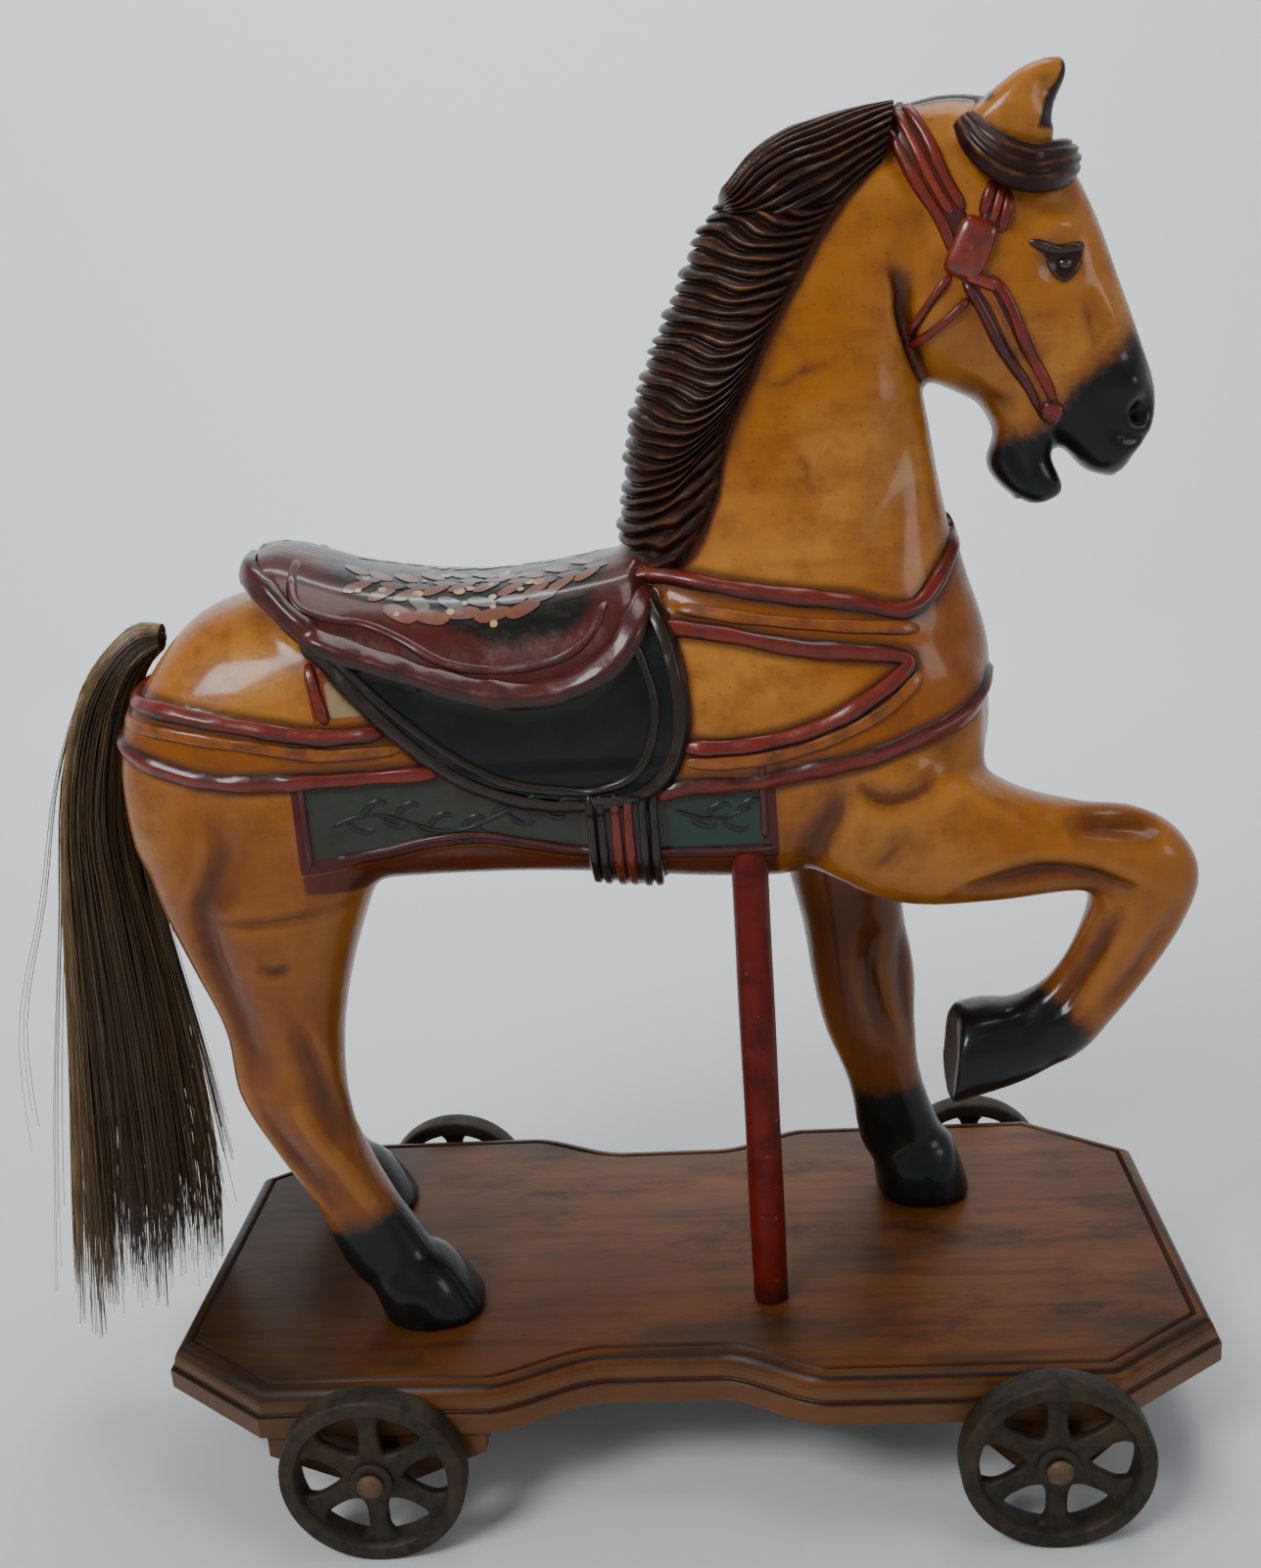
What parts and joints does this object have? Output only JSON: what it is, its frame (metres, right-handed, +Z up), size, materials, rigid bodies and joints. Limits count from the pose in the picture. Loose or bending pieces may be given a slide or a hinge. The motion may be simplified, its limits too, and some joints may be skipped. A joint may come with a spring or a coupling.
{
  "type": "wooden horse sculpture",
  "caption": "Carved and painted wooden horse with saddle and harness, one foreleg raised, on a shaped platform with cast-iron wheels, a pole and a hair tail.",
  "frame": {"origin": "on the ground under the middle of the whole object's box, which is halfway between the left and right wheels", "axes": "+X where the horse looks, +Y to the horse's left, +Z up"},
  "size_m": [0.511, 0.243, 0.556],
  "materials": {
    "horse_paint": "carved wood, stained and painted, glossy varnish",
    "tail_hair": "coarse natural hair, brown with black and golden strands",
    "pole_paint": "red paint, worn satin",
    "board_wood": "brown stained wood, satin varnish",
    "wheel_iron": "old cast iron, dark grey-brown, slightly rusty"
  },
  "bodies": {
    "horse_on_platform": {"horse": "horse_paint", "tail": "tail_hair", "pole": "pole_paint", "platform": "board_wood", "bolster_front": "board_wood", "bolster_rear": "board_wood", "axle_front": "wheel_iron", "axle_rear": "wheel_iron"},
    "wheel_front_right": {"wheel_front_right": "wheel_iron"},
    "wheel_front_left": {"wheel_front_left": "wheel_iron"},
    "wheel_rear_right": {"wheel_rear_right": "wheel_iron"},
    "wheel_rear_left": {"wheel_rear_left": "wheel_iron"}
  },
  "joints": [
    {"name": "front_right_spin", "type": "hinge", "parent": "horse_on_platform", "child": "wheel_front_right", "pos_m": [0.1805, -0.111, 0.038], "axis": [0, 1, 0], "continuous": true},
    {"name": "front_left_spin", "type": "hinge", "parent": "horse_on_platform", "child": "wheel_front_left", "pos_m": [0.1805, 0.111, 0.038], "axis": [0, 1, 0], "continuous": true},
    {"name": "rear_right_spin", "type": "hinge", "parent": "horse_on_platform", "child": "wheel_rear_right", "pos_m": [-0.0915, -0.111, 0.038], "axis": [0, 1, 0], "continuous": true},
    {"name": "rear_left_spin", "type": "hinge", "parent": "horse_on_platform", "child": "wheel_rear_left", "pos_m": [-0.0915, 0.111, 0.038], "axis": [0, 1, 0], "continuous": true}
  ]
}
